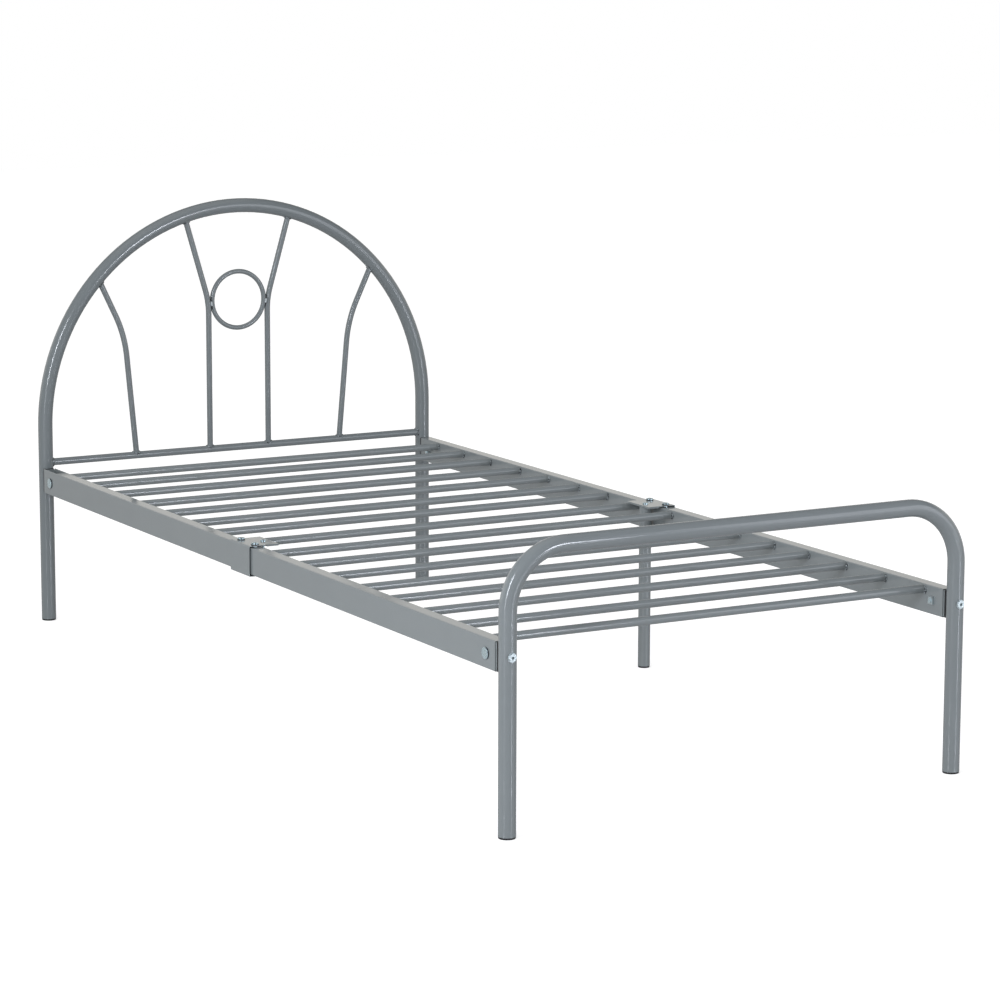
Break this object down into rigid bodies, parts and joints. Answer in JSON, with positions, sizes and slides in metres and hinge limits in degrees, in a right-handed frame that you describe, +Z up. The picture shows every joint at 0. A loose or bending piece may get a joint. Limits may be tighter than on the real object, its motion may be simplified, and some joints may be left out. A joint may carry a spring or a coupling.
{
  "type": "single metal bed frame with slatted base",
  "caption": "Grey metal single bed frame with an arched headboard, spindles and a ring, a low hooped footboard and round tube slats",
  "frame": {"origin": "on the floor, in the middle of the overall box", "axes": "+X is the right-hand side for someone who stands at the foot of the bed and looks at the headboard, +Y points to the headboard along the bed's length, +Z is up"},
  "size_m": [0.9182, 1.9852, 0.865],
  "materials": {
    "grey_paint": "semi-gloss grey powder coat on steel tube",
    "zinc_steel": "bright zinc plating on steel fasteners",
    "black_plastic": "matt black moulded plastic"
  },
  "bodies": {
    "root": {"foot_glides": "black_plastic", "footboard_hoop_tube": "grey_paint", "headboard_arch_tube": "grey_paint", "headboard_cross_rail": "grey_paint", "headboard_ring": "grey_paint", "headboard_spindle_inner_left": "grey_paint", "headboard_spindle_inner_right": "grey_paint", "headboard_spindle_outer_left": "grey_paint", "headboard_spindle_outer_right": "grey_paint", "joint_bolts": "zinc_steel", "joint_nuts": "zinc_steel", "joint_spacers": "black_plastic", "leg_saddles": "black_plastic", "leg_screws": "zinc_steel", "leg_washers": "zinc_steel", "middle_connector_left": "grey_paint", "middle_connector_right": "grey_paint", "middle_leg_glide": "black_plastic", "middle_leg_plug": "zinc_steel", "middle_leg_right": "grey_paint", "middle_leg_screws": "zinc_steel", "rail_bolts": "zinc_steel", "rail_bracket_foot_left": "grey_paint", "rail_bracket_foot_right": "grey_paint", "rail_bracket_head_left": "grey_paint", "rail_bracket_head_right": "grey_paint", "rail_nuts": "zinc_steel", "rail_spacers": "black_plastic", "side_rail_foot_left": "grey_paint", "side_rail_foot_right": "grey_paint", "side_rail_head_left": "grey_paint", "side_rail_head_right": "grey_paint", "slat_01": "grey_paint", "slat_02": "grey_paint", "slat_03": "grey_paint", "slat_04": "grey_paint", "slat_05": "grey_paint", "slat_06": "grey_paint", "slat_07": "grey_paint", "slat_08": "grey_paint", "slat_09": "grey_paint", "slat_10": "grey_paint", "slat_11": "grey_paint", "slat_12": "grey_paint", "slat_13": "grey_paint", "slat_14": "grey_paint", "slat_15": "grey_paint", "slat_16": "grey_paint"}
  },
  "joints": []
}
